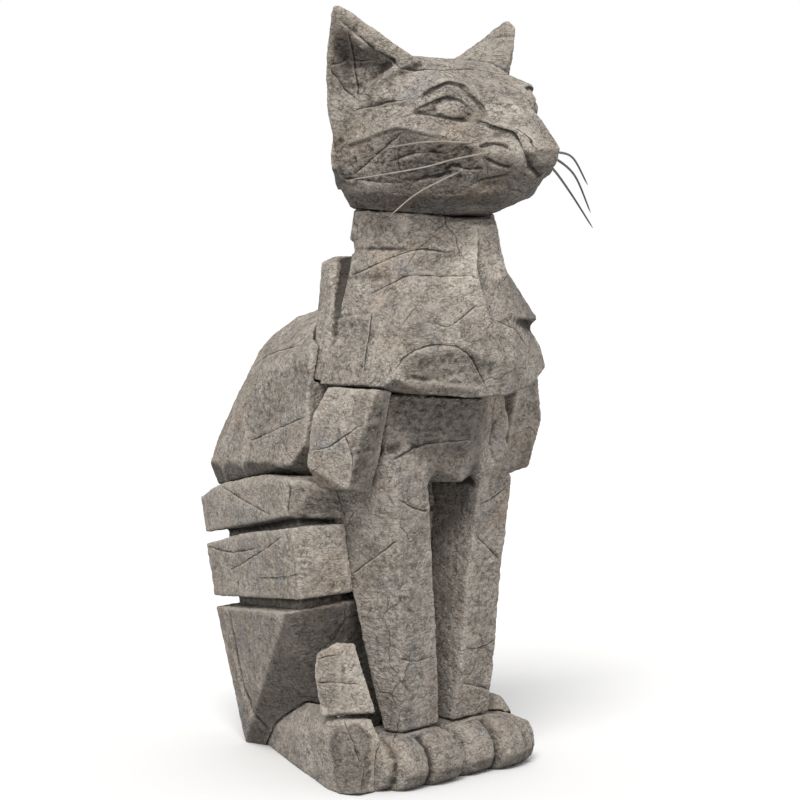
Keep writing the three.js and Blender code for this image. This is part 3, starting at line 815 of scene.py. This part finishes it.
def carve_shoulder(clay):
    clay.crack(0, either((-42, -7, 123), (-51, -25, 126), (-51, -35, 131), (-47, -44, 136)))
    clay.crack(1, either((-51, -35, 131), (-52, -38, 126), (-51, -39, 119)))
    front = one((-45, -42, 138), (-47, -42, 128), (-47, -42, 118))
    clay.paint(clay.rough, front, (9, 6, 9), 0.7)
    # Painted shade on the shoulder's front facet.
    clay.paint(clay.tone, front, (7, 5, 9), 0.86)
    # Painted light on the far shoulder's facet.
    clay.paint(clay.tone, one((36, -42, 136), (42, -41, 127), (38, -39, 119)), (9, 7, 9), 1.4)


def carve_back(clay):
    clay.crack(0, either((-28, 37, 123), (-38, 12, 130), (-44, -9, 136)))
    clay.crack(1, either((-13, 50, 151), (-23, 28, 157), (-32, 5, 161)))
    side = either((-41, -2, 148), (-38, 10, 144), (-33, 22, 139), (-29, 33, 132))
    clay.swell(side, -0.5, (10, 10, 9))
    clay.paint(clay.rough, side, (11, 11, 10), 0.55)
    clay.paint(clay.tone, side, (11, 11, 10), 0.9)
    # Painted shade along the block's lower edge, over the gap to the slab below.
    clay.paint(
        clay.tone,
        either((-13, 72, 106), (-22, 52, 108), (-30, 33, 110.5), (-34, 18, 112)),
        (9, 14, 5.5),
        0.42,
    )


def carve_chest(clay):
    clay.soften(either((-32, -41, 120), (-24, -43, 122), (-17, -43, 121)), (7, 7, 6), 60)
    clay.soften(either((-13, -42, 116), (-16, -43, 113)), (6, 6, 6), 60)
    clay.swell(one((31, -40, 134), (31, -40, 124)), 3.0, (9, 10, 12))
    clay.crack(0, one((-30, -39, 121), (-17, -44, 126), (5, -50, 128)))
    clay.crack(1, one((24, -44, 138), (10, -50, 118), (4, -49, 112)))
    left = one((-22, -44, 138), (-10, -48, 138), (0, -50, 138), (-16, -46, 128), (-4, -50, 128))
    clay.paint(clay.rough, left, (11, 9, 9), 0.7)
    # Painted shade on the breast's left facet, under the mantle.
    clay.paint(clay.tone, left, (11, 9, 9), 0.8)
    # Painted light on the breast's right facet.
    clay.paint(clay.tone, one((22, -46, 136), (20, -46, 122), (30, -40, 130)), (10, 9, 10), 1.3)
    clay.crack(0, either((-34, -22, 78), (-31, -42, 92)))
    clay.crack(1, either((-31, -43, 107), (-22, -44, 103), (-15, -43, 101)))
    clay.crack(0, either((-27, -40, 48), (-18, -42, 46), (-10, -41, 47)))
    clay.crack(1, one((14, -42, 89), (27, -42, 79)))
    clay.crack(1, one((8, -40, 34), (25, -39, 29)))
    clay.paint(clay.rough, either((-24, -40, 70), (-22, -40, 34)), (9, 9, 18), 0.5)


def carve_slab_upper(clay):
    clay.crack(0, either((-21, 60, 103), (-33, 34, 100), (-42, 11, 98)))
    clay.cut(either((-47, -4, 111), (-49, -4, 100)), 0.5, 0.8)
    front = either((-47, -9, 107), (-48, -10, 101), (-43, -15, 104), (-40, -19, 101))
    clay.paint(clay.rough, front, (7, 6, 6), 0.8)
    # Painted shade on the slab's front end.
    clay.paint(clay.tone, front, (7, 6, 6), 0.76)


def carve_slab_middle(clay):
    clay.crack(0, either((-14, 75, 77), (-24, 52, 78), (-35, 27, 83)))
    clay.crack(1, either((-24, 52, 71), (-37, 23, 82), (-46, 2, 91)))
    clay.crack(0, either((-49, -11, 79), (-44, 0, 76), (-36, 24, 72)))
    clay.paint(clay.rough, either((-46, 0, 80)), (8, 16, 9), 0.5)
    # Painted shade on the slab's front end.
    clay.paint(clay.tone, either((-47, -12, 84), (-42, -17, 82)), (7, 8, 9), 0.93)


def carve_haunch(clay):
    # Painted light on the haunch's front facet, which lies in shade.
    clay.paint(clay.tone, either((-40, -1, 52), (-33, -10, 58), (-39, -11, 64)), (12, 12, 14), 1.2)
    clay.cut(either((-20, 58, 55), (-18, 53, 26), (-20, 46, 18), (-17, 40, 8)), 3.0, 1.6, 1.2)


def carve_tail_tip(clay):
    clay.crack(0, one((-46, -16, 48), (-45, -25, 50)))
    clay.crack(1, one((-47, -17, 39), (-45, -24, 40), (-38, -31, 39)))
    clay.paint(clay.tone, one((-42, -22, 42)), (16, 16, 20), 1.1)
    ridge = one((-42, -25, 52), (-43, -26, 46), (-44, -27, 39), (-45, -28, 31))
    clay.terrace(ridge, 0.5, 3)
    # Painted shade on the facet past the ridge.
    clay.shade_side(ridge, 0.82, 16)


def carve_tail_base(clay):
    clay.crack(0, one((-44, -28, 26), (-43, -36, 11), (-45, -37, 2)))
    clay.paint(clay.rough, one((-40, 14, 14), (-44, -8, 14)), (14, 18, 9), 0.5)
    # Painted light on the top of the tail.
    clay.paint(clay.tone, one((-23, 21, 16), (-34, 0, 12), (-41, -12, 14)), (14, 14, 12), 1.18)
    end = one((-47, -29, 17), (-48, -31, 8), (-44, -34, 19), (-45, -35, 9))
    # Painted shade on the tail's end face.
    clay.paint(clay.tone, end, (6, 6, 9), 0.62)
    clay.paint(clay.rough, end, (7, 6, 9), 0.6)


def round_paw(clay):
    clay.co = relax(clay.co, clay.ed, PAW_ROUNDS)
    clay.tone *= PAW_TONE
    clay.refresh()


CARVING = {
    "skull": carve_face,
    "chest_mantle": carve_mantle,
    "shoulder_left": carve_shoulder,
    "shoulder_right": carve_shoulder,
    "back_block": carve_back,
    "breast": carve_chest,
    "haunch_slab_upper": carve_slab_upper,
    "haunch_slab_middle": carve_slab_middle,
    "haunch_base": carve_haunch,
    "tail_tip": carve_tail_tip,
    "tail_base": carve_tail_base,
    "front_paw_left": round_paw,
    "front_paw_right": round_paw,
    "hind_paw_left": round_paw,
}
# Stones whose joints don't show are carved as one: the first node, the others, and the closing distance.
FUSED = {
    "skull": (
        ["nose_bridge", "muzzle_pad_left", "muzzle_pad_right", "lower_jaw", "ear_left", "ear_right"],
        HEAD_CLOSE,
    ),
    "chest_mantle": (["neck", "nape_slab"], BODY_CLOSE),
    "breast": (["foreleg_left", "foreleg_right"], BODY_CLOSE),
}
ABSORBED = {part for parts, _ in FUSED.values() for part in parts}


def stone(node):
    """The finished stone for one CAD node, or for a family of nodes that show as one."""
    others, close = FUSED.get(node, ([], 0.0))
    nodes = [node] + others
    obj = new_mesh("stone_" + node, nodes, HEAD_VOXEL if node == "skull" else VOXEL, close)
    clay = Clay(obj)
    clay.co = relax(clay.co, clay.ed, BLOCK_ROUNDS)
    clay.refresh()
    if node in CARVING:
        CARVING[node](clay)
        clay.co = relax(clay.co, clay.ed, CARVED_ROUNDS)
        clay.refresh()
    clay.store_finish_and_painted_light()
    modifier = obj.modifiers.new("relief", "NODES")
    modifier.node_group = RELIEF
    bake_modifiers(obj)
    finish_stone(obj, clay.groove, nodes)
    return obj


def finish_stone(obj, groove, nodes):
    """Cavity and wear from the final shape, then the material; the CAD parts are hidden and the stone is put
    under the root body.
    """
    mesh = obj.data
    ed = edges(mesh)
    co = coords(mesh)
    co = np.clip(co, CAD_BOX[0], CAD_BOX[1])
    set_coords(mesh, co)
    no = normals(mesh)
    degree = np.maximum(np.bincount(ed.ravel(), minlength=len(co)), 1)
    bend = ((neighbour_mean(co, ed, degree) - co) * no).sum(1) / VOXEL
    near = smooth(bend, ed, 3)
    far = smooth(bend, ed, 14)
    # Painted shade: hollows, and the carved grooves, are darkened through the cavity.
    put_attribute(mesh, "cavity", np.clip(near * 9.0 + far * 10.0 + groove * 0.6, 0, 1))
    put_attribute(mesh, "wear", np.clip(-near * 6.0 - far * 12.0 - 0.1, 0, 1))
    slot = SLOTS[nodes[0]]
    mesh.materials.append(MATERIALS[slot])
    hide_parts(*nodes)
    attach(obj, "root")


# Each whisker's route, in the cat's millimetres, from inside its socket to its tip.
WHISKERS = {
    "whisker_upper_right": (
        (-11, -66, 232.5), (-17, -69.5, 234.2), (-34, -65.2, 234.8), (-45, -63, 234),
        (-56, -60.5, 232.2),
    ),
    "whisker_middle_right": (
        (-10, -70, 231), (-16.5, -74.1, 231.3), (-34, -72, 228.6), (-46, -66.5, 225.4),
        (-62, -47, 221.2),
    ),
    "whisker_lower_right": (
        (-11, -62, 226.5), (-20, -64, 225), (-32, -63.4, 221.1), (-44, -62.4, 216.2),
        (-54, -60.3, 209.3),
    ),
    "whisker_upper_left": (
        (10, -70, 231.5), (17, -72, 232.4), (27, -68.7, 232.2), (42, -64.4, 230.3),
        (58, -59, 220.5),
    ),
    "whisker_middle_left": (
        (10, -70, 229), (17, -71.6, 230.2), (27, -68.2, 229.7), (44, -63.8, 223.7),
        (62, -57.4, 210),
    ),
    "whisker_lower_left": (
        (10, -68, 227), (17, -69.4, 227.6), (26, -67.2, 226.4), (44, -61.5, 217.7),
        (60, -60, 204.2),
    ),
}


def whisker(node):
    """A round wire that thins towards its tip, with a domed end."""
    path = curve(pts(*WHISKERS[node]), 12)
    steps = len(path)
    ahead = np.gradient(path, axis=0)
    ahead /= np.linalg.norm(ahead, axis=1)[:, None]
    flat = np.cross(ahead, (0.0, 0.0, 1.0))
    flat /= np.linalg.norm(flat, axis=1)[:, None]
    upright = np.cross(flat, ahead)
    share = np.linspace(0, 1, steps)
    root = WIRE_ROOT[SLOTS[node]]
    radius = root * (1 - 0.5 * share**1.6)
    radius[-3:] *= (0.94, 0.72, 0.3)
    turn = np.linspace(0, 2 * np.pi, WIRE_SIDES, endpoint=False)
    ring = np.cos(turn)[None, :, None] * flat[:, None] + np.sin(turn)[None, :, None] * upright[:, None]
    verts = (path[:, None] + ring * radius[:, None, None]).reshape(-1, 3)
    faces = [list(range(WIRE_SIDES))[::-1], [(steps - 1) * WIRE_SIDES + k for k in range(WIRE_SIDES)]]
    for i in range(steps - 1):
        for k in range(WIRE_SIDES):
            a, b = i * WIRE_SIDES + k, i * WIRE_SIDES + (k + 1) % WIRE_SIDES
            faces.append([a, b, b + WIRE_SIDES, a + WIRE_SIDES])
    mesh = bpy.data.meshes.new("wire_" + node)
    mesh.from_pydata(verts.tolist(), [], faces)
    mesh.polygons.foreach_set("use_smooth", [True] * len(mesh.polygons))
    mesh.materials.append(MATERIALS[SLOTS[node]])
    obj = bpy.data.objects.new("wire_" + node, mesh)
    bpy.context.scene.collection.objects.link(obj)
    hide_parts(node)
    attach(obj, "root")


def dowel(node):
    """A hidden pin keeps its CAD shape and takes a drawn-steel finish."""
    NODES[node].data.materials.clear()
    NODES[node].data.materials.append(MATERIALS[SLOTS[node]])


for name in sorted(NODES):
    if name in ABSORBED:
        continue
    if SLOTS[name].startswith("stoneware"):
        stone(name)
    elif name in WHISKERS:
        whisker(name)
    else:
        dowel(name)


# ---- studio ----
def studio():
    bpy.ops.mesh.primitive_plane_add(size=FLOOR_SIZE, location=(0, 0, 0))
    floor = bpy.context.object
    floor.name = "floor"
    mat = bpy.data.materials.new("floor")
    mat.use_nodes = True
    bsdf = mat.node_tree.nodes["Principled BSDF"]
    bsdf.inputs["Base Color"].default_value = (FLOOR_ALBEDO, FLOOR_ALBEDO, FLOOR_ALBEDO, 1)
    bsdf.inputs["Roughness"].default_value = 0.9
    floor.data.materials.append(mat)
    world = bpy.data.worlds.new("studio")
    bpy.context.scene.world = world
    world.use_nodes = True
    world.node_tree.nodes["Background"].inputs[0].default_value = (1, 1, 1, 1)
    world.node_tree.nodes["Background"].inputs[1].default_value = WORLD_STRENGTH
    sun = bpy.data.lights.new("key", "SUN")
    sun.energy = KEY_ENERGY
    sun.angle = KEY_ANGLE
    sun.color = (1.0, 0.985, 0.96)
    key = bpy.data.objects.new("key", sun)
    bpy.context.scene.collection.objects.link(key)
    key.rotation_euler = Vector(KEY_DIRECTION).to_track_quat("-Z", "Y").to_euler()


def camera():
    data = bpy.data.cameras.new("camera")
    data.lens = CAMERA_LENS
    data.sensor_width = CAMERA_SENSOR
    obj = bpy.data.objects.new("camera", data)
    bpy.context.scene.collection.objects.link(obj)
    obj.location = CAMERA_PLACE
    obj.rotation_euler = Vector(CAMERA_FORWARD).to_track_quat("-Z", "Y").to_euler()
    bpy.context.scene.camera = obj


studio()
camera()
bpy.context.scene.view_settings.view_transform = "Standard"
